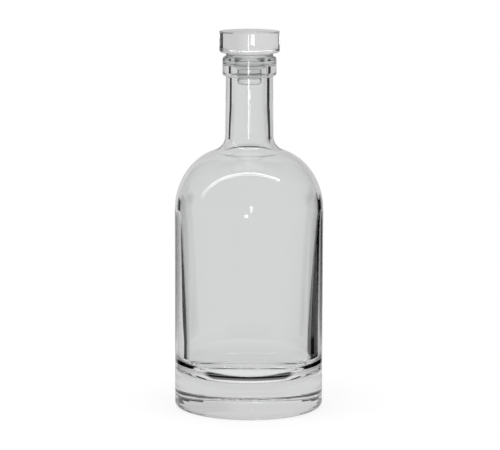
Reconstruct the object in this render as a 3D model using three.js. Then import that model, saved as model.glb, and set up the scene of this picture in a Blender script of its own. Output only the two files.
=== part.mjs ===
// A clear glass decanter for spirits: a heavy-based round bottle, a solid glass stopper and its soft seal.
// Lengths are in millimetres and +Z is up. The origin is on the axis, at the height of the table it stands on.
import * as THREE from "three";

// Bottle: outside of the body
const bottleHeight = 218.6;
const bodyRadius = 46;
const straightHeight = 123.4;
const heelRadius = 2.5;

// Bottle: hollow under the base, inside the flat ring that it stands on
const puntRadius = 37.5;
const puntDepth = 3;

// Bottle: shoulder, a quarter of an ellipse that a fillet blends into the neck
const shoulderRise = 38.4;
const shoulderCrownRadius = 12.1;
const neckFillet = 9.3;

// Bottle: neck and the collar round its mouth
const neckFootRadius = 14.9;
const neckTopRadius = 14.5;
const collarHeight = 12.1;
const collarProjection = 2.1;
const collarTopEdge = 2;
const collarFootEdge = 1.5;
const mouthEdge = 0.9;

// Bottle: inside
const boreRadius = 11;
const boreStraight = 28.6;
const shoulderWall = 3;
const baseWall = 7;
const floorHeight = 20;
const floorFillet = 13;
const upperWallHandle = 5.4;
const lowerWallHandle = 27;

// Stopper: disc and shank, pressed as one piece of glass
const discRadius = 18.6;
const discThickness = 13.1;
const discTopEdge = 0.7;
const discFootEdge = 1.5;
const shankRadius = 6.6;
const shankLength = 19.8;
const beadProjection = 0.9;
const beadHeight = 4;
const beadFootEdge = 2.2;
const beadTopEdge = 0.5;

// Seal: flange under the disc, two ribs that grip the bore, and a sleeve held on the shank by its bead
const flangeThickness = 1.6;
const flangeInset = 2.1;
const flangeEdge = 0.4;
const sleeveWall = 1;
const ribDrop = 2.5;
const ribHeight = 1.2;
const ribSpacing = 2.2;
const ribRelief = 0.6;
const coneHeight = 1.9;

// Clearances
const restGap = 0.3;
const sleeveClearance = 0.3;
const boreClearance = 0.3;

// Facets
const turnSteps = 48;
const shoulderSteps = 12;
const filletSteps = 7;
const edgeSteps = 4;
const puntSteps = 7;
const wallSteps = 9;
const floorSteps = 8;

const collarRadius = neckTopRadius + collarProjection;
const collarFoot = bottleHeight - collarHeight;
const flangeFoot = bottleHeight + restGap;
const flangeTop = flangeFoot + flangeThickness;
const discFoot = flangeTop + restGap;
const discTop = discFoot + discThickness;
const beadFoot = discFoot - shankLength;
const beadTop = beadFoot + beadHeight;

function point(radius, height) {
  return new THREE.Vector2(radius, height);
}

// Points of an arc round a centre: angles in degrees, 0 pointing away from the axis and 90 pointing up.
function arc(centreRadius, centreHeight, size, startAngle, endAngle, steps) {
  const points = [];
  for (let step = 0; step <= steps; step += 1) {
    const angle = THREE.MathUtils.degToRad(THREE.MathUtils.lerp(startAngle, endAngle, step / steps));
    points.push(point(centreRadius + size * Math.cos(angle), centreHeight + size * Math.sin(angle)));
  }
  return points;
}

// A point of the shoulder's ellipse moved along its outward normal, for a parameter from 0 (body) to 90 degrees.
function shoulderPoint(parameter, offset) {
  const reach = bodyRadius - shoulderCrownRadius;
  const normal = point(shoulderRise * Math.cos(parameter), reach * Math.sin(parameter)).normalize();
  const surface = point(
    shoulderCrownRadius + reach * Math.cos(parameter),
    straightHeight + shoulderRise * Math.sin(parameter),
  );
  return surface.addScaledVector(normal, offset);
}

// The parameter at which the ellipse meets the fillet, found by halving the interval.
function shoulderEnd() {
  let low = 0;
  let high = Math.PI / 2;
  for (let halving = 0; halving < 50; halving += 1) {
    const middle = (low + high) / 2;
    if (shoulderPoint(middle, neckFillet).x > neckFootRadius + neckFillet) {
      low = middle;
    } else {
      high = middle;
    }
  }
  return (low + high) / 2;
}

// Shoulder and neck fillet from the body up to the neck, moved inwards by a depth.
function shoulderOutline(depth) {
  const end = shoulderEnd();
  const points = [];
  for (let step = 0; step < shoulderSteps; step += 1) {
    points.push(shoulderPoint((end * step) / shoulderSteps, -depth));
  }
  const centre = shoulderPoint(end, neckFillet);
  const contact = shoulderPoint(end, 0).sub(centre);
  const startAngle = 360 + THREE.MathUtils.radToDeg(Math.atan2(contact.y, contact.x));
  points.push(...arc(centre.x, centre.y, neckFillet + depth, startAngle, 180, filletSteps));
  return points;
}

// The hollow under the base, from the axis out to the standing ring.
function puntOutline() {
  const size = (puntRadius ** 2 + puntDepth ** 2) / (2 * puntDepth);
  const edgeAngle = THREE.MathUtils.radToDeg(Math.asin(puntRadius / size));
  return arc(0, puntDepth - size, size, 90, 90 - edgeAngle, puntSteps);
}

// The inside wall from the shoulder down to the floor's fillet, thickening towards the base.
function wallOutline() {
  const top = point(bodyRadius - shoulderWall, straightHeight);
  const foot = point(bodyRadius - baseWall, floorHeight + floorFillet);
  const curve = new THREE.CubicBezierCurve(
    top,
    point(top.x, top.y - upperWallHandle),
    point(foot.x, foot.y + lowerWallHandle),
    foot,
  );
  return curve.getPoints(wallSteps);
}

function bottleOutline() {
  return [
    ...puntOutline(),
    ...arc(bodyRadius - heelRadius, heelRadius, heelRadius, -90, 0, edgeSteps),
    ...shoulderOutline(0),
    point(neckTopRadius, collarFoot),
    ...arc(collarRadius - collarFootEdge, collarFoot + collarFootEdge, collarFootEdge, -90, 0, edgeSteps),
    ...arc(collarRadius - collarTopEdge, bottleHeight - collarTopEdge, collarTopEdge, 0, 90, edgeSteps),
    ...arc(boreRadius + mouthEdge, bottleHeight - mouthEdge, mouthEdge, 90, 180, edgeSteps),
    point(boreRadius, bottleHeight - boreStraight),
    ...shoulderOutline(shoulderWall).reverse(),
    ...wallOutline(),
    ...arc(bodyRadius - baseWall - floorFillet, floorHeight + floorFillet, floorFillet, 0, -90, floorSteps),
    point(0, floorHeight),
  ];
}

function stopperOutline() {
  const beadRadius = shankRadius + beadProjection;
  return [
    point(0, beadFoot),
    ...arc(beadRadius - beadFootEdge, beadFoot + beadFootEdge, beadFootEdge, -90, 0, edgeSteps),
    ...arc(beadRadius - beadTopEdge, beadTop - beadTopEdge, beadTopEdge, 0, 90, edgeSteps),
    point(shankRadius, beadTop),
    point(shankRadius, discFoot),
    ...arc(discRadius - discFootEdge, discFoot + discFootEdge, discFootEdge, -90, 0, edgeSteps),
    ...arc(discRadius - discTopEdge, discTop - discTopEdge, discTopEdge, 0, 90, edgeSteps),
    point(0, discTop),
  ];
}

function sealOutline() {
  const holeRadius = shankRadius + sleeveClearance;
  const sleeveRadius = holeRadius + sleeveWall;
  const ribRadius = boreRadius - boreClearance;
  const waistRadius = ribRadius - ribRelief;
  const flangeRadius = collarRadius - flangeInset;
  const upperRibTop = flangeFoot - ribDrop;
  const lowerRibTop = upperRibTop - ribSpacing;
  const coneTop = lowerRibTop - ribHeight;
  return [
    point(holeRadius, beadTop + restGap),
    point(sleeveRadius, beadTop + restGap),
    point(sleeveRadius, coneTop - coneHeight),
    point(ribRadius, coneTop),
    point(ribRadius, lowerRibTop),
    point(waistRadius, (lowerRibTop + upperRibTop - ribHeight) / 2),
    point(ribRadius, upperRibTop - ribHeight),
    point(ribRadius, upperRibTop),
    point(waistRadius, upperRibTop + ribRelief),
    point(waistRadius, flangeFoot),
    ...arc(flangeRadius - flangeEdge, flangeFoot + flangeEdge, flangeEdge, -90, 0, edgeSteps),
    ...arc(flangeRadius - flangeEdge, flangeTop - flangeEdge, flangeEdge, 0, 90, edgeSteps),
    point(holeRadius, flangeTop),
    point(holeRadius, beadTop + restGap),
  ];
}

// A solid turned round the Z axis from an outline that runs up its outside and down its inside.
function turned(name, outline, material) {
  const points = outline.filter((here, index) => index === 0 || here.distanceTo(outline[index - 1]) > 1e-6);
  const geometry = new THREE.LatheGeometry(points, turnSteps);
  geometry.rotateX(Math.PI / 2);
  const mesh = new THREE.Mesh(geometry, material);
  mesh.name = name;
  return mesh;
}

function clearGlass() {
  return new THREE.MeshStandardMaterial({
    color: 0xe2e5e5,
    roughness: 0.03,
    metalness: 0,
    transparent: true,
    opacity: 0.35,
  });
}

function clearSeal() {
  return new THREE.MeshStandardMaterial({
    color: 0xdfe1e1,
    roughness: 0.25,
    metalness: 0,
    transparent: true,
    opacity: 0.5,
  });
}

function bottle() {
  return turned("bottle", bottleOutline(), clearGlass());
}

function stopper() {
  const group = new THREE.Group();
  group.add(turned("stopper", stopperOutline(), clearGlass()));
  group.add(turned("seal_ring", sealOutline(), clearSeal()));
  return group;
}

const decanter = new THREE.Group();
decanter.add(bottle());
decanter.add(stopper());

export default decanter;
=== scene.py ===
"""Dresses a clear glass decanter: blown bottle, solid glass stopper, soft seal and a pale studio."""

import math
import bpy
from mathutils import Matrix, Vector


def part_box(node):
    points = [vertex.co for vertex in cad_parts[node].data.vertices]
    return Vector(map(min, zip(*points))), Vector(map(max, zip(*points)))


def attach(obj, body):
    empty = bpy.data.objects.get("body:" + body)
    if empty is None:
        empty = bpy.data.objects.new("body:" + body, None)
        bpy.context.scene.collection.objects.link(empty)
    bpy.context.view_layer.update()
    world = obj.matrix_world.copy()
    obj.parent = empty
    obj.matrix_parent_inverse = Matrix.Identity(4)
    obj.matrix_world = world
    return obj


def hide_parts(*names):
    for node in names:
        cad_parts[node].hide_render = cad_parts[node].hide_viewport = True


bl_info = {
    "name": "Glass decanter",
    "version": (1, 0, 0),
    "blender": (4, 5, 0),
    "location": "View3D > Sidebar > Decanter",
    "description": "A clear glass decanter with a disc stopper, made round its solid model",
    "category": "Add Mesh",
}

import bmesh
import bpy
from bpy.props import FloatProperty, FloatVectorProperty, IntProperty, PointerProperty
from mathutils import Vector

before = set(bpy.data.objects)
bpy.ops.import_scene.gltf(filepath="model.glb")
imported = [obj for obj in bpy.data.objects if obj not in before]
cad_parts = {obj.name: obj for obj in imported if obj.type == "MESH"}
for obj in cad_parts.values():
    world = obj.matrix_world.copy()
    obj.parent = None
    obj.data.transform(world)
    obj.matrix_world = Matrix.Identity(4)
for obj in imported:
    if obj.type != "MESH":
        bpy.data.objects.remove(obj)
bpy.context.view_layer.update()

BOTTLE_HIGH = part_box("bottle")[1]
STOPPER_LOW, STOPPER_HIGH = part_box("stopper")
SEAL_LOW, SEAL_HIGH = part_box("seal_ring")


def length(name, description, default):
    return FloatProperty(name=name, description=description, default=default, unit="LENGTH", precision=5)


def angle(name, description, degrees):
    return FloatProperty(name=name, description=description, default=math.radians(degrees), subtype="ANGLE")


def number(name, description, default):
    return FloatProperty(name=name, description=description, default=default)


def shade(name, description, default):
    return FloatVectorProperty(
        name=name,
        description=description,
        default=default,
        subtype="COLOR",
        min=0,
        max=1,
    )


class BottleSettings(bpy.types.PropertyGroup):
    body_radius: length("Body radius", "Outside radius of the straight body", BOTTLE_HIGH.x)
    height: length("Height", "Height of the mouth above the table", BOTTLE_HIGH.z)
    straight_height: length("Straight height", "Height at which the shoulder begins", 0.1234)
    heel_radius: length("Heel radius", "Rounding between the side and the base", 0.0025)
    punt_radius: length("Punt radius", "Radius of the hollow under the base", 0.0375)
    punt_depth: length("Punt depth", "Depth of the hollow under the base", 0.003)
    shoulder_rise: length("Shoulder rise", "Height of the shoulder's ellipse", 0.0384)
    crown_radius: length("Crown radius", "Radius at which the shoulder's ellipse would be level", 0.0121)
    neck_fillet: length("Neck fillet", "Radius that blends the shoulder into the neck", 0.0093)
    neck_foot_radius: length("Neck foot radius", "Outside radius at the foot of the neck", 0.0149)
    neck_top_radius: length("Neck top radius", "Outside radius under the collar", 0.0145)
    collar_height: length("Collar height", "Height of the collar round the mouth", 0.0121)
    collar_projection: length("Collar projection", "How far the collar stands out of the neck", 0.0021)
    collar_top_edge: length("Collar top edge", "Rounding of the collar's upper edge", 0.002)
    collar_foot_edge: length("Collar foot edge", "Rounding of the collar's lower edge", 0.0015)
    mouth_edge: length("Mouth edge", "Rounding where the bore meets the mouth", 0.0009)
    bore_radius: length("Bore radius", "Radius of the straight bore that the seal grips", 0.011)
    bore_straight: length("Straight bore", "Depth of the straight bore below the mouth", 0.0286)
    shoulder_wall: length("Shoulder wall", "Thickness of the glass in the shoulder", 0.003)
    base_wall: length("Base wall", "Thickness of the wall above the floor", 0.007)
    floor_height: length("Floor height", "Height of the inside floor above the table", 0.02)
    floor_fillet: length("Floor fillet", "Rounding between the inside wall and the floor", 0.013)
    upper_wall_handle: length("Upper wall handle", "How far the shoulder's wall keeps its thickness", 0.0054)
    lower_wall_handle: length("Lower wall handle", "How far the base's wall keeps its thickness", 0.027)
    small_edge: length("Small edge", "Rounding where the neck meets the collar", 0.0006)
    tick_start: length("Tick start", "Distance from the hollow to the ticks in the standing ring", 0.0015)
    tick_length: length("Tick length", "Length of the ticks in the standing ring", 0.003)
    tick_depth: length("Tick depth", "Depth of the fine ticks pressed into the standing ring", 0.0003)


class StopperSettings(bpy.types.PropertyGroup):
    disc_radius: length("Disc radius", "Radius of the glass disc", STOPPER_HIGH.x)
    disc_top: length("Disc top", "Height of the disc's top above the table", STOPPER_HIGH.z)
    disc_thickness: length("Disc thickness", "Thickness of the glass disc", 0.0131)
    disc_top_edge: length("Disc top edge", "Rounding of the disc's upper edge", 0.0007)
    disc_foot_edge: length("Disc foot edge", "Rounding of the disc's lower edge", 0.0015)
    shank_foot: length("Shank foot", "Height of the shank's lower end above the table", STOPPER_LOW.z)
    shank_radius: length("Shank radius", "Radius of the shank inside the seal", 0.0066)
    bead_projection: length("Bead projection", "How far the bead stands out of the shank", 0.0009)
    bead_height: length("Bead height", "Height of the bead that holds the seal", 0.004)
    bead_foot_edge: length("Bead foot edge", "Rounding of the bead's lower edge", 0.0022)
    bead_top_edge: length("Bead top edge", "Rounding of the bead's upper edge", 0.0005)


class SealSettings(bpy.types.PropertyGroup):
    flange_radius: length("Flange radius", "Radius of the flange between disc and collar", SEAL_HIGH.x)
    flange_top: length("Flange top", "Height of the flange's upper face", SEAL_HIGH.z)
    flange_thickness: length("Flange thickness", "Thickness of the flange", 0.0016)
    flange_edge: length("Flange edge", "Rounding of the flange's rim", 0.0004)
    sleeve_foot: length("Sleeve foot", "Height of the sleeve's lower end", SEAL_LOW.z)
    sleeve_wall: length("Sleeve wall", "Thickness of the sleeve round the shank", 0.001)
    sleeve_grip: length("Sleeve grip", "How far the stretched sleeve presses on the shank", 0.0001)
    rib_grip: length("Rib grip", "How far the ribs press into the bore", 0.0001)
    seat: length("Seat", "How far the soft flange swells to touch the disc and the collar", 0.0004)
    rib_drop: length("Rib drop", "Distance from the flange to the upper rib", 0.0025)
    rib_height: length("Rib height", "Height of each rib", 0.0012)
    rib_spacing: length("Rib spacing", "Distance between the tops of the two ribs", 0.0022)
    rib_relief: length("Rib relief", "Depth of the groove between the ribs", 0.0006)
    cone_height: length("Cone height", "Height of the cone that leads into the bore", 0.0019)
    soft_edge: length("Soft edge", "Rounding of the ribs and the sleeve's end", 0.0002)


class GlassSettings(bpy.types.PropertyGroup):
    turn_steps: IntProperty(name="Turn steps", description="Facets round each piece", default=256, min=16)
    glass_colour: shade("Glass colour", "Tint of the clear glass", (0.985, 0.99, 0.99))
    glass_index: number("Glass index", "Refractive index of the glass", 1.52)
    wave_size: length("Wave size", "Size of the faint waves in the glass", 0.011)
    wave_depth: length("Wave depth", "Depth of the faint waves in the glass", 0.0000015)
    seal_colour: shade("Seal colour", "Tint of the clear soft seal", (0.93, 0.935, 0.935))
    seal_index: number("Seal index", "Refractive index of the seal", 1.43)
    satin_size: length("Satin size", "Size of the patches in the seal's satin skin", 0.0025)
    satin_low: number("Satin low", "Roughness of the seal where it is smoothest", 0.05)
    satin_high: number("Satin high", "Roughness of the seal where it is most satin", 0.12)


class StudioSettings(bpy.types.PropertyGroup):
    lens: number("Lens", "Focal length of the camera in millimetres, on a sensor 36 wide", 173.3)
    camera_distance: length("Camera distance", "Distance of the camera in front of the axis", 1.4756)
    camera_height: length("Camera height", "Height of the camera above the table", 0.3427)
    aim_height: length("Aim height", "Height on the axis that the camera looks at", 0.11356)
    aim_side: length("Aim side", "Sideways offset of the point that the camera looks at", 0.0006)
    camera_roll: angle("Camera roll", "How far the camera leans to one side", 0.17)
    card_distance: length("Card distance", "Distance of the black cards from the axis", 0.7)
    sweep_level: number("Sweep level", "Brightness of the pale sweep as the glass sees it", 0.7)
    dark_level: number("Dark level", "Brightness of the dark bands and the black cards", 0.004)
    floor_inner: length("Floor disc", "Radius of the floor that shows through the base", 0.13)
    floor_level: number("Floor level", "Brightness of the table as the glass sees it", 0.66)
    shade_inner: length("Shade inner radius", "Where the shade at the front of the base begins", 0.028)
    shade_outer: length("Shade outer radius", "Where the shade at the front of the base ends", 0.058)
    floor_outer: length("Floor edge", "Radius of the whole floor", 3)


# Outlines: lists of (radius, height) that run up the outside of a piece and down its inside.

SUPPORT_MARGIN = 0.00015
SAME_POINT = 1e-7
RING_STEP = 0.001
RING_STEPS = 5
HALVINGS = 50


def arc(centre_radius, centre_height, size, start, end, steps):
    """Points round a centre, with angles in degrees: 0 points away from the axis and 90 points up."""
    points = []
    for step in range(steps + 1):
        turn = math.radians(start + (end - start) * step / steps)
        points.append((centre_radius + size * math.cos(turn), centre_height + size * math.sin(turn)))
    return points


def joined(*runs):
    """Joins curved runs by straight lines, with a point close to each end to keep their shading flat."""
    outline = list(runs[0])
    for run in runs[1:]:
        start, end = Vector(outline[-1]), Vector(run[0])
        gap = (end - start).length
        if gap > 4 * SUPPORT_MARGIN:
            outline.append(tuple(start.lerp(end, SUPPORT_MARGIN / gap)))
            outline.append(tuple(end.lerp(start, SUPPORT_MARGIN / gap)))
        outline.extend(run if gap > SAME_POINT else run[1:])
    return outline


def shoulder_point(sizes, parameter, offset):
    """A point of the shoulder's ellipse moved along its outward normal."""
    reach = sizes.body_radius - sizes.crown_radius
    normal = Vector((sizes.shoulder_rise * math.cos(parameter), reach * math.sin(parameter))).normalized()
    radius = sizes.crown_radius + reach * math.cos(parameter)
    height = sizes.straight_height + sizes.shoulder_rise * math.sin(parameter)
    return Vector((radius, height)) + offset * normal


def shoulder_end(sizes):
    """The parameter at which the ellipse meets the neck's fillet, found by halving the interval."""
    low, high = 0, math.pi / 2
    fillet_centre = sizes.neck_foot_radius + sizes.neck_fillet
    for _ in range(HALVINGS):
        middle = (low + high) / 2
        if shoulder_point(sizes, middle, sizes.neck_fillet).x > fillet_centre:
            low = middle
        else:
            high = middle
    return (low + high) / 2


def shoulder_outline(sizes, depth, shoulder_steps=64, fillet_steps=24):
    """Shoulder and neck fillet from the body up to the neck, moved inwards by a depth."""
    end = shoulder_end(sizes)
    points = []
    for step in range(shoulder_steps):
        points.append(tuple(shoulder_point(sizes, end * step / shoulder_steps, -depth)))
    centre = shoulder_point(sizes, end, sizes.neck_fillet)
    contact = shoulder_point(sizes, end, 0) - centre
    start = 360 + math.degrees(math.atan2(contact.y, contact.x))
    return points + arc(centre.x, centre.y, sizes.neck_fillet + depth, start, 180, fillet_steps)


def punt_outline(sizes, steps=24):
    """The hollow under the base, from the axis out to the standing ring."""
    size = (sizes.punt_radius**2 + sizes.punt_depth**2) / (2 * sizes.punt_depth)
    edge = math.degrees(math.asin(sizes.punt_radius / size))
    return arc(0, sizes.punt_depth - size, size, 90, 90 - edge, steps)


def wall_outline(sizes, steps=48):
    """The inside wall from the shoulder down to the floor's fillet, thickening towards the base."""
    top = Vector((sizes.body_radius - sizes.shoulder_wall, sizes.straight_height))
    foot = Vector((sizes.body_radius - sizes.base_wall, sizes.floor_height + sizes.floor_fillet))
    top_control = top - Vector((0, sizes.upper_wall_handle))
    foot_control = foot + Vector((0, sizes.lower_wall_handle))
    points = []
    for step in range(steps + 1):
        share = step / steps
        first = top.lerp(top_control, share)
        second = top_control.lerp(foot_control, share)
        third = foot_control.lerp(foot, share)
        points.append(tuple(first.lerp(second, share).lerp(second.lerp(third, share), share)))
    return points


def bottle_outline(sizes):
    """The whole section of the bottle: base, side, shoulder, collar, bore, inside wall and floor."""
    body, heel, small = sizes.body_radius, sizes.heel_radius, sizes.small_edge
    top, foot = sizes.height, sizes.height - sizes.collar_height
    collar = sizes.neck_top_radius + sizes.collar_projection
    crown_edge, foot_edge, lip = sizes.collar_top_edge, sizes.collar_foot_edge, sizes.mouth_edge
    floor, fillet = sizes.floor_height, sizes.floor_fillet
    ring = [(sizes.punt_radius + step * RING_STEP, 0) for step in range(1, RING_STEPS + 1)]
    return joined(
        punt_outline(sizes),
        ring,
        arc(body - heel, heel, heel, -90, 0, steps=10),
        shoulder_outline(sizes, 0),
        arc(sizes.neck_top_radius + small, foot - small, small, 180, 90, steps=6),
        arc(collar - foot_edge, foot + foot_edge, foot_edge, -90, 0, steps=10),
        arc(collar - crown_edge, top - crown_edge, crown_edge, 0, 90, steps=12),
        arc(sizes.bore_radius + lip, top - lip, lip, 90, 180, steps=10),
        [(sizes.bore_radius, top - sizes.bore_straight)],
        shoulder_outline(sizes, sizes.shoulder_wall)[::-1],
        wall_outline(sizes),
        arc(body - sizes.base_wall - fillet, floor + fillet, fillet, 0, -90, steps=32),
        [(0, floor)],
    )


def stopper_outline(sizes):
    """The section of the solid stopper: bead, shank and disc."""
    bead = sizes.shank_radius + sizes.bead_projection
    bead_top = sizes.shank_foot + sizes.bead_height
    foot = sizes.disc_top - sizes.disc_thickness
    top_edge, foot_edge = sizes.disc_top_edge, sizes.disc_foot_edge
    bead_foot_edge, bead_top_edge = sizes.bead_foot_edge, sizes.bead_top_edge
    return joined(
        [(0, sizes.shank_foot)],
        arc(bead - bead_foot_edge, sizes.shank_foot + bead_foot_edge, bead_foot_edge, -90, 0, steps=12),
        arc(bead - bead_top_edge, bead_top - bead_top_edge, bead_top_edge, 0, 90, steps=6),
        [(sizes.shank_radius, bead_top)],
        [(sizes.shank_radius, foot)],
        arc(sizes.disc_radius - foot_edge, foot + foot_edge, foot_edge, -90, 0, steps=12),
        arc(sizes.disc_radius - top_edge, sizes.disc_top - top_edge, top_edge, 0, 90, steps=8),
        [(0, sizes.disc_top)],
    )


def seal_outline(sizes, bore_radius, shank_radius):
    """The section of the seal, a closed loop: sleeve, cone, two ribs, waist and flange."""
    hole = shank_radius - sizes.sleeve_grip
    sleeve = hole + sizes.sleeve_wall
    rib = bore_radius + sizes.rib_grip
    waist = rib - sizes.rib_relief - sizes.rib_grip
    edge, soft = sizes.flange_edge, sizes.soft_edge
    flange_top = sizes.flange_top + sizes.seat
    flange_foot = sizes.flange_top - sizes.flange_thickness - sizes.seat
    upper_top = flange_foot - sizes.rib_drop
    lower_top = upper_top - sizes.rib_spacing
    cone_top = lower_top - sizes.rib_height
    groove = (lower_top + upper_top - sizes.rib_height) / 2
    return joined(
        [(hole, sizes.sleeve_foot)],
        arc(sleeve - soft, sizes.sleeve_foot + soft, soft, -90, 0, steps=5),
        [(sleeve, cone_top - sizes.cone_height)],
        arc(rib - soft, cone_top + soft, soft, -45, 0, steps=4),
        arc(rib - soft, lower_top - soft, soft, 0, 45, steps=4),
        [(rib - sizes.rib_grip / 2, groove)],
        arc(rib - soft, upper_top - sizes.rib_height + soft, soft, -45, 0, steps=4),
        arc(rib - soft, upper_top - soft, soft, 0, 60, steps=4),
        [(waist, upper_top + sizes.rib_relief)],
        [(waist, flange_foot)],
        arc(sizes.flange_radius - edge, flange_foot + edge, edge, -90, 0, steps=6),
        arc(sizes.flange_radius - edge, flange_top - edge, edge, 0, 90, steps=6),
        [(hole, flange_top)],
        [(hole, sizes.sleeve_foot)],
    )


# Meshes

MERGE_DISTANCE = 1e-6

# Facets from one tick to the next, and facets that each tick takes
TICK_PITCH = 4
TICK_WIDTH = 2


def turned(name, outline, steps):
    """A bmesh spun from an outline round the upright axis, closed and facing outwards."""
    shape = bmesh.new()
    corners = [shape.verts.new((radius, 0, height)) for radius, height in outline]
    for lower, upper in zip(corners, corners[1:]):
        shape.edges.new((lower, upper))
    bmesh.ops.spin(
        shape,
        geom=shape.verts[:] + shape.edges[:],
        cent=(0, 0, 0),
        axis=(0, 0, 1),
        angle=2 * math.pi,
        steps=steps,
        use_merge=True,
    )
    bmesh.ops.remove_doubles(shape, verts=shape.verts, dist=MERGE_DISTANCE)
    bmesh.ops.recalc_face_normals(shape, faces=shape.faces)
    return shape


def press_ticks(shape, sizes, steps):
    """Lifts every other group of points on the standing ring, which leaves short radial ticks there."""
    inner = sizes.punt_radius + sizes.tick_start
    outer = inner + sizes.tick_length
    ticks = []
    for corner in shape.verts:
        radius = math.hypot(corner.co.x, corner.co.y)
        column = round(math.atan2(corner.co.y, corner.co.x) / (2 * math.pi) * steps)
        lowest = corner.co.z < MERGE_DISTANCE
        if lowest and inner < radius < outer and column % TICK_PITCH < TICK_WIDTH:
            ticks.append(corner)
    bmesh.ops.translate(shape, verts=ticks, vec=(0, 0, sizes.tick_depth))


def finished(name, shape, material):
    """Turns a bmesh into a smooth object with one material."""
    for face in shape.faces:
        face.smooth = True
    mesh = bpy.data.meshes.new(name)
    shape.to_mesh(mesh)
    shape.free()
    mesh.materials.append(material)
    piece = bpy.data.objects.new(name, mesh)
    bpy.context.scene.collection.objects.link(piece)
    return piece


def dress(piece, node, body):
    """Lets a piece stand for a solid of the frame and move with its body."""
    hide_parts(node)
    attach(piece, body)


# Shader maths


class Value:
    """A number on a node's socket, so that shader maths reads as arithmetic."""

    def __init__(self, sheet, socket):
        self.sheet = sheet
        self.socket = socket

    def __add__(self, other):
        return self.sheet.maths("ADD", self, other)

    def __radd__(self, other):
        return self.sheet.maths("ADD", other, self)

    def __sub__(self, other):
        return self.sheet.maths("SUBTRACT", self, other)

    def __rsub__(self, other):
        return self.sheet.maths("SUBTRACT", other, self)

    def __mul__(self, other):
        return self.sheet.maths("MULTIPLY", self, other)

    def __rmul__(self, other):
        return self.sheet.maths("MULTIPLY", other, self)


class NodeSheet:
    """The nodes of one material or world."""

    def __init__(self, owner):
        owner.use_nodes = True
        self.tree = owner.node_tree
        self.tree.nodes.clear()

    def node(self, kind, settings=None, inputs=None):
        """Adds a node, sets its settings, then gives its sockets values or links."""
        node = self.tree.nodes.new(kind)
        for name, value in (settings or {}).items():
            setattr(node, name, value)
        for name, value in (inputs or {}).items():
            if isinstance(value, Value):
                value = value.socket
            if isinstance(value, bpy.types.NodeSocket):
                self.tree.links.new(value, node.inputs[name])
            else:
                node.inputs[name].default_value = value
        return node

    def value(self, kind, output, settings=None, inputs=None):
        return Value(self, self.node(kind, settings, inputs).outputs[output])

    def maths(self, operation, *terms):
        return self.value("ShaderNodeMath", 0, {"operation": operation}, dict(enumerate(terms)))

    def rise(self, value, low, high):
        """0 below low, 1 above high and a smooth rise between them."""
        settings = {"interpolation_type": "SMOOTHSTEP"}
        inputs = {"Value": value, "From Min": low, "From Max": high}
        return self.value("ShaderNodeMapRange", "Result", settings, inputs)

    def band(self, value, low, high, soft):
        """1 between low and high, 0 outside, with soft edges."""
        return self.rise(value, low - soft, low + soft) * (1 - self.rise(value, high - soft, high + soft))


# Materials


def soft_waves(sheet, size, depth):
    """A normal with the faint waves of blown and pressed glass."""
    place = sheet.node("ShaderNodeTexCoord").outputs["Object"]
    grain = {"Vector": place, "Scale": 1 / size, "Detail": 1, "Roughness": 0.4}
    noise = sheet.node("ShaderNodeTexNoise", None, grain)
    bump = sheet.node("ShaderNodeBump", None, {"Strength": 1, "Distance": depth, "Height": noise.outputs[0]})
    return bump.outputs[0]


def satin_skin(sheet, size, low, high):
    """A roughness that changes slowly between two values."""
    place = sheet.node("ShaderNodeTexCoord").outputs["Object"]
    noise = sheet.node("ShaderNodeTexNoise", None, {"Vector": place, "Scale": 1 / size, "Detail": 2})
    inputs = {"Value": noise.outputs[0], "To Min": low, "To Max": high}
    return sheet.value("ShaderNodeMapRange", "Result", None, inputs)


def clear_glass(name, settings):
    """Polished flint glass."""
    material = bpy.data.materials.new(name)
    sheet = NodeSheet(material)
    glass = sheet.node(
        "ShaderNodeBsdfPrincipled",
        None,
        {
            "Base Color": (*settings.glass_colour, 1),
            "Roughness": 0,
            "IOR": settings.glass_index,
            "Normal": soft_waves(sheet, settings.wave_size, settings.wave_depth),
            "Transmission Weight": 1,
        },
    )
    sheet.node("ShaderNodeOutputMaterial", None, {"Surface": glass.outputs[0]})
    return material


def clear_seal(name, settings):
    """Soft clear plastic with a faintly satin skin."""
    material = bpy.data.materials.new(name)
    sheet = NodeSheet(material)
    plastic = sheet.node(
        "ShaderNodeBsdfPrincipled",
        None,
        {
            "Base Color": (*settings.seal_colour, 1),
            "Roughness": satin_skin(sheet, settings.satin_size, settings.satin_low, settings.satin_high),
            "IOR": settings.seal_index,
            "Transmission Weight": 1,
        },
    )
    sheet.node("ShaderNodeOutputMaterial", None, {"Surface": plastic.outputs[0]})
    return material


# The floor as the glass sees it: edges are radii in metres, and gains add painted light to its brightness
# Painted light: the floor under the punt is brighter as the glass sees it
PUNT_LIGHT_EDGE = (0.036, 0.039)
PUNT_LIGHT_GAIN = 0.2
# Painted shade round the base: the floor grows brighter between these radii as the glass sees it
SHADE_FADE_EDGE = (0.07, 0.125)
SHADE_FADE_GAIN = 0.04
# Painted shadow at the front of the base: softness in metres, and the share of the radius that lies ahead
SHADE_SOFTNESS = 0.001
SHADE_FRONT = (0.4, 0.6)
TABLE_WHITE = (0.95, 0.95, 0.95, 1)

# The floor as the camera sees it: brightness of its glow, and the glow's share beside the matt white
WHITE_LEVEL = 1.02
GLOW_SHARE = 0.7


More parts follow.
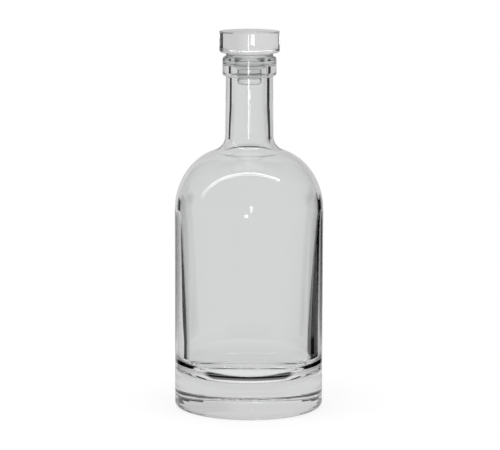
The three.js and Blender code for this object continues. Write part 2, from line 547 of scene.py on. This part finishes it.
def pale_floor(name, settings):
    """A plain white table. The glass sees it greyer, with a painted shadow at the front of the base."""
    material = bpy.data.materials.new(name)
    sheet = NodeSheet(material)
    path = sheet.node("ShaderNodeLightPath").outputs
    place = sheet.node("ShaderNodeTexCoord").outputs["Object"]
    parts = sheet.node("ShaderNodeSeparateXYZ", None, {0: place}).outputs
    across, along = Value(sheet, parts["X"]), Value(sheet, parts["Y"])
    reach = sheet.maths("SQRT", across * across + along * along)
    # Painted shadow: a dark crescent on the floor at the front of the base, which only reflections and
    # refractions show
    front = sheet.rise(-1 * along, SHADE_FRONT[0] * reach, SHADE_FRONT[1] * reach)
    shaded = sheet.band(reach, settings.shade_inner, settings.shade_outer, SHADE_SOFTNESS) * front
    mirrored = Value(sheet, path["Is Glossy Ray"])
    bent = sheet.maths("MAXIMUM", mirrored, Value(sheet, path["Is Transmission Ray"]))
    # Painted light under the punt
    under = 1 - sheet.rise(reach, *PUNT_LIGHT_EDGE)
    # Painted shade round the base, which fades outwards
    outer = sheet.rise(reach, *SHADE_FADE_EDGE)
    seen = settings.floor_level * (1 - shaded) + PUNT_LIGHT_GAIN * under + SHADE_FADE_GAIN * outer
    level = bent * seen + (1 - bent) * WHITE_LEVEL
    share = bent * (1 - GLOW_SHARE) + GLOW_SHARE
    matt = sheet.node("ShaderNodeBsdfDiffuse", None, {"Color": TABLE_WHITE})
    glow = sheet.node("ShaderNodeEmission", None, {"Color": (1, 1, 1, 1), "Strength": level})
    mixed = sheet.node("ShaderNodeMixShader", None, {0: share, 1: matt.outputs[0], 2: glow.outputs[0]})
    sheet.node("ShaderNodeOutputMaterial", None, {"Surface": mixed.outputs[0]})
    return material


def black_card(name, settings):
    """Black card, which gives the glass its dark lines."""
    material = bpy.data.materials.new(name)
    sheet = NodeSheet(material)
    dull = sheet.node("ShaderNodeEmission", None, {"Color": (1, 1, 1, 1), "Strength": settings.dark_level})
    sheet.node("ShaderNodeOutputMaterial", None, {"Surface": dull.outputs[0]})
    return material


# Directions round the object in degrees: turn runs from +Y towards +X, rise is measured up from level
BODY_BAND = (23.5, 62)
BODY_BAND_RISE = (-18.7, -7.5)
LEFT_LIMIT = 36
LEFT_WIDENING = 7
LEFT_WIDENING_RISE = (-17, -14.5)
LEFT_END = (-62, -60)
RIGHT_NECK_BAND = (39, 62)
LEFT_NECK_BAND = (-62, -43)
NECK_BAND_RISE = (-3.3, -0.6)
BAND_SOFTNESS = 0.8
BODY_RISE_SOFTNESS = 0.7
NECK_RISE_SOFTNESS = 0.3

# Brightness of the sweep: it falls off to the right and above, and is dark beside the object in reflections
RIGHT_FALL = 0.12
RIGHT_FALL_TURN = (2, 20)
TOP_FALL = 0.1
TOP_FALL_RISE = (2, 12)
MIRROR_DARKNESS = 0.9
MIRROR_RIGHT = (33, 40)
MIRROR_LEFT = (28, 36)


def dark_bands(sheet, turn, rise):
    """1 in the narrow dark bands at both sides, which give the body and the neck their lines."""
    left_limit = LEFT_LIMIT + LEFT_WIDENING * sheet.rise(rise, *LEFT_WIDENING_RISE)
    left = sheet.rise(-1 * turn - left_limit, -BAND_SOFTNESS, BAND_SOFTNESS) * sheet.rise(turn, *LEFT_END)
    body = sheet.band(turn, *BODY_BAND, BAND_SOFTNESS) + left
    body = body * sheet.band(rise, *BODY_BAND_RISE, BODY_RISE_SOFTNESS)
    neck = sheet.band(turn, *RIGHT_NECK_BAND, BAND_SOFTNESS)
    neck = neck + sheet.band(turn, *LEFT_NECK_BAND, BAND_SOFTNESS)
    neck = neck * sheet.band(rise, *NECK_BAND_RISE, NECK_RISE_SOFTNESS)
    return sheet.maths("MAXIMUM", body, neck)


def studio_world(name, settings):
    """A white room. What the glass reflects and bends is a pale sweep with dark bands at both sides."""
    world = bpy.data.worlds.new(name)
    sheet = NodeSheet(world)
    path = sheet.node("ShaderNodeLightPath").outputs
    direction = sheet.node("ShaderNodeTexCoord").outputs["Generated"]
    parts = sheet.node("ShaderNodeSeparateXYZ", None, {0: direction}).outputs
    side, ahead, up = (Value(sheet, parts[axis]) for axis in "XYZ")
    turn = sheet.maths("DEGREES", sheet.maths("ARCTAN2", side, ahead))
    rise = sheet.maths("DEGREES", sheet.maths("ARCSINE", up))

    through = Value(sheet, path["Is Transmission Ray"])
    beside = sheet.rise(turn, *MIRROR_RIGHT) + sheet.rise(-1 * turn, *MIRROR_LEFT)
    mirrored = MIRROR_DARKNESS * beside * (1 - through)
    fall = 1 - RIGHT_FALL * sheet.rise(turn, *RIGHT_FALL_TURN)
    sweep = settings.sweep_level * fall * (1 - TOP_FALL * sheet.rise(rise, *TOP_FALL_RISE))
    level = sweep * (1 - dark_bands(sheet, turn, rise)) * (1 - mirrored) + settings.dark_level

    bent = sheet.maths("MAXIMUM", Value(sheet, path["Is Glossy Ray"]), through)
    strength = bent * level + (1 - bent)
    background = sheet.node("ShaderNodeBackground", None, {"Color": (1, 1, 1, 1), "Strength": strength})
    sheet.node("ShaderNodeOutputWorld", None, {"Surface": background.outputs[0]})
    return world


# Operators

FLOOR_SEGMENTS = 128
CARD_STEPS = 16
CLIP_END = 20

# Lamps: name, place, the point it faces, width, height, all in metres, and power in watts
LAMPS = (
    ("overhead_strip", (-0.82, -0.155, 0.64), (-0.82, 0, 0.14), 2.55, 0.018, 2.0),
    ("front_strip", (-0.091, -1.297, 0.081), (0, 0, 0.19), 0.1, 0.113, 0.3),
)

# Black cards behind the object: name, first and last angle in degrees, lower and upper edge in metres
CARDS = (
    ("right_card", 24, 62, 0.03, 0.105),
    ("right_neck_card", 38, 62, 0.105, 0.163),
    ("right_disc_card", 50, 80, 0.163, 0.3),
    ("left_card", -31, -62, 0.03, 0.105),
    ("left_neck_card", -43, -62, 0.105, 0.163),
    ("left_disc_card", -63, -80, 0.163, 0.3),
)


class DECANTER_OT_bottle(bpy.types.Operator):
    """Make the blown bottle, with its heavy base, domed shoulder, neck and collar"""

    bl_idname = "decanter.bottle"
    bl_label = "Bottle"

    def execute(self, context):
        sizes = context.scene.decanter_bottle
        glass = context.scene.decanter_glass
        shape = turned("decanter_bottle", bottle_outline(sizes), glass.turn_steps)
        press_ticks(shape, sizes, glass.turn_steps)
        piece = finished("decanter_bottle", shape, clear_glass("flint_glass_bottle", glass))
        dress(piece, "bottle", "bottle")
        return {"FINISHED"}


class DECANTER_OT_stopper(bpy.types.Operator):
    """Make the solid glass stopper, a disc with a beaded shank"""

    bl_idname = "decanter.stopper"
    bl_label = "Stopper"

    def execute(self, context):
        glass = context.scene.decanter_glass
        shape = turned("glass_stopper", stopper_outline(context.scene.decanter_stopper), glass.turn_steps)
        piece = finished("glass_stopper", shape, clear_glass("flint_glass_stopper", glass))
        dress(piece, "stopper", "stopper")
        return {"FINISHED"}


class DECANTER_OT_seal(bpy.types.Operator):
    """Make the clear soft seal, with its flange, ribs and sleeve"""

    bl_idname = "decanter.seal"
    bl_label = "Seal"

    def execute(self, context):
        scene = context.scene
        glass = scene.decanter_glass
        bore_radius = scene.decanter_bottle.bore_radius
        shank_radius = scene.decanter_stopper.shank_radius
        outline = seal_outline(scene.decanter_seal, bore_radius, shank_radius)
        shape = turned("clear_seal", outline, glass.turn_steps)
        piece = finished("clear_seal", shape, clear_seal("clear_soft_plastic", glass))
        dress(piece, "seal_ring", "stopper")
        return {"FINISHED"}


class DECANTER_OT_studio(bpy.types.Operator):
    """Make the white floor, the studio's light and the camera"""

    bl_idname = "decanter.studio"
    bl_label = "Studio"

    def execute(self, context):
        settings = context.scene.decanter_studio
        context.scene.world = studio_world("pale_studio", settings)
        self.add_floor(settings)
        for lamp in LAMPS:
            self.add_lamp(*lamp)
        dull = black_card("black_card", settings)
        for card in CARDS:
            self.add_card(settings.card_distance, dull, *card)
        self.add_camera(context, settings)
        context.scene.view_settings.view_transform = "Standard"
        return {"FINISHED"}

    def add_floor(self, settings):
        """A floor disc that the glass shows, and a ring round it that the glass doesn't show."""
        material = pale_floor("pale_floor", settings)
        disc = bmesh.new()
        bmesh.ops.create_circle(disc, cap_ends=True, segments=FLOOR_SEGMENTS, radius=settings.floor_inner)
        finished("floor_disc", disc, material)
        ring = bmesh.new()
        bmesh.ops.create_circle(ring, cap_ends=False, segments=FLOOR_SEGMENTS, radius=settings.floor_inner)
        outer = bmesh.ops.extrude_edge_only(ring, edges=ring.edges[:])
        moved = [part for part in outer["geom"] if isinstance(part, bmesh.types.BMVert)]
        share = settings.floor_outer / settings.floor_inner
        bmesh.ops.scale(ring, verts=moved, vec=(share, share, 1))
        bmesh.ops.recalc_face_normals(ring, faces=ring.faces)
        far_floor = finished("floor_ring", ring, material)
        far_floor.visible_glossy = False
        far_floor.visible_transmission = False

    def add_card(self, distance, material, name, start, end, low, high):
        """A black card curved round the object, which only the glass shows. Angles run from +Y to +X."""
        card = bmesh.new()
        first = math.radians(start)
        place = Vector((math.sin(first), math.cos(first), 0)) * distance
        foot, top = (card.verts.new((place.x, place.y, height)) for height in (low, high))
        edge = card.edges.new((foot, top))
        bmesh.ops.spin(
            card,
            geom=[foot, top, edge],
            cent=(0, 0, 0),
            axis=(0, 0, 1),
            angle=-math.radians(end - start),
            steps=CARD_STEPS,
        )
        piece = finished(name, card, material)
        piece.visible_camera = False
        piece.visible_diffuse = False
        piece.visible_shadow = False

    def add_lamp(self, name, place, target, width, height, power):
        """A rectangular lamp that the camera doesn't see."""
        lamp = bpy.data.lights.new(name, "AREA")
        lamp.shape = "RECTANGLE"
        lamp.size = width
        lamp.size_y = height
        lamp.energy = power
        holder = bpy.data.objects.new(name, lamp)
        holder.location = place
        holder.rotation_euler = (Vector(target) - Vector(place)).to_track_quat("-Z", "Y").to_euler()
        holder.visible_camera = False
        bpy.context.scene.collection.objects.link(holder)

    def add_camera(self, context, settings):
        """The camera at the photograph's viewing angle."""
        camera = bpy.data.cameras.new("camera")
        camera.lens = settings.lens
        camera.clip_end = CLIP_END
        holder = bpy.data.objects.new("camera", camera)
        place = Vector((0, -settings.camera_distance, settings.camera_height))
        target = Vector((settings.aim_side, 0, settings.aim_height))
        holder.location = place
        holder.rotation_euler = (target - place).to_track_quat("-Z", "Y").to_euler()
        holder.rotation_euler.rotate_axis("Z", settings.camera_roll)
        context.scene.collection.objects.link(holder)
        context.scene.camera = holder


class DECANTER_PT_panel(bpy.types.Panel):
    """The decanter's pieces and their sizes"""

    bl_idname = "DECANTER_PT_panel"
    bl_label = "Decanter"
    bl_space_type = "VIEW_3D"
    bl_region_type = "UI"
    bl_category = "Decanter"

    def draw(self, context):
        for operator in OPERATORS:
            self.layout.operator(operator.bl_idname)
        for name in SETTINGS:
            group = getattr(context.scene, name)
            for setting in group.bl_rna.properties:
                if setting.identifier not in ("rna_type", "name"):
                    self.layout.prop(group, setting.identifier)


SETTINGS = {
    "decanter_bottle": BottleSettings,
    "decanter_stopper": StopperSettings,
    "decanter_seal": SealSettings,
    "decanter_glass": GlassSettings,
    "decanter_studio": StudioSettings,
}
OPERATORS = (DECANTER_OT_bottle, DECANTER_OT_stopper, DECANTER_OT_seal, DECANTER_OT_studio)
CLASSES = (*SETTINGS.values(), *OPERATORS, DECANTER_PT_panel)


def register():
    for entry in CLASSES:
        bpy.utils.register_class(entry)
    for name, group in SETTINGS.items():
        setattr(bpy.types.Scene, name, PointerProperty(type=group))


def unregister():
    for name in SETTINGS:
        delattr(bpy.types.Scene, name)
    for entry in reversed(CLASSES):
        bpy.utils.unregister_class(entry)


def main():
    register()
    bpy.ops.decanter.bottle()
    bpy.ops.decanter.stopper()
    bpy.ops.decanter.seal()
    bpy.ops.decanter.studio()


if __name__ == "__main__":
    main()
